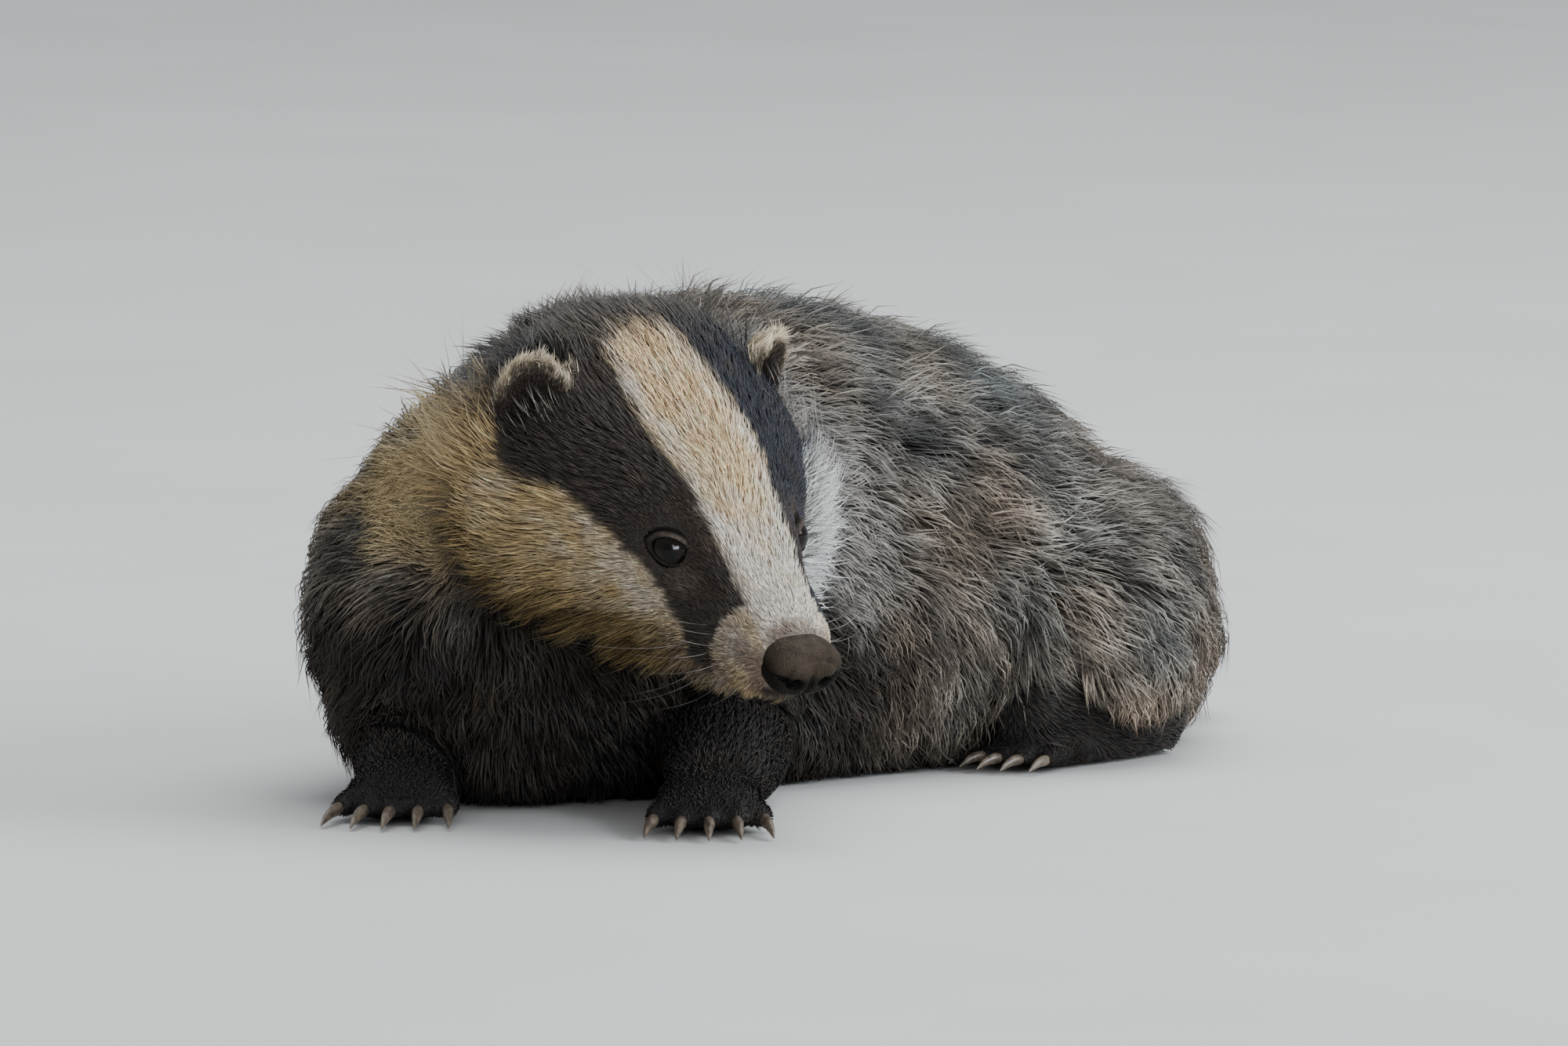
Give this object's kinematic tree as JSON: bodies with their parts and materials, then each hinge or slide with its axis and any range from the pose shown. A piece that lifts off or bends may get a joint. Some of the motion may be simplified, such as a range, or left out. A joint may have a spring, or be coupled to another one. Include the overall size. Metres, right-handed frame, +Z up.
{
  "type": "european badger",
  "caption": "Young badger as a still life-size model, crouched on its belly with the head turned back along one flank; striped face, long grizzled coat, short tail.",
  "frame": {"origin": "on the floor, under the middle of the whole animal's box", "axes": "+Z up; -Y the way that the muzzle points, towards the viewer; +X to the viewer's right, the side of the rump"},
  "size_m": [0.2752, 0.3714, 0.1442],
  "materials": {
    "body_fur": "long grizzled guard hair over buff underfur, straw tips and a dark band",
    "face_fur": "short close fur, white with a black stripe from nose to ear on each side",
    "leg_fur": "short black-brown fur",
    "tail_fur": "loose pale grizzled fur",
    "ear_fur": "short dark fur with a cream rim",
    "nose_skin": "moist finely pebbled skin",
    "eye": "wet, very dark brown",
    "claw_horn": "smooth worn horn, paler at the tip"
  },
  "bodies": {
    "root": {"ear_left": "ear_fur", "ear_right": "ear_fur", "eye_left": "eye", "eye_right": "eye", "foreleg_left": "leg_fur", "foreleg_right": "leg_fur", "forepaw_left": "leg_fur", "forepaw_left_claw_1": "claw_horn", "forepaw_left_claw_2": "claw_horn", "forepaw_left_claw_3": "claw_horn", "forepaw_left_claw_4": "claw_horn", "forepaw_left_claw_5": "claw_horn", "forepaw_right": "leg_fur", "forepaw_right_claw_1": "claw_horn", "forepaw_right_claw_2": "claw_horn", "forepaw_right_claw_3": "claw_horn", "forepaw_right_claw_4": "claw_horn", "forepaw_right_claw_5": "claw_horn", "head": "face_fur", "hindleg_left": "leg_fur", "hindleg_right": "leg_fur", "hindpaw_left": "leg_fur", "hindpaw_left_claw_1": "claw_horn", "hindpaw_left_claw_2": "claw_horn", "hindpaw_left_claw_3": "claw_horn", "hindpaw_left_claw_4": "claw_horn", "hindpaw_left_claw_5": "claw_horn", "hindpaw_right": "leg_fur", "hindpaw_right_claw_1": "claw_horn", "hindpaw_right_claw_2": "claw_horn", "hindpaw_right_claw_3": "claw_horn", "hindpaw_right_claw_4": "claw_horn", "hindpaw_right_claw_5": "claw_horn", "neck": "body_fur", "nose": "nose_skin", "tail": "tail_fur", "torso": "body_fur"}
  },
  "joints": []
}
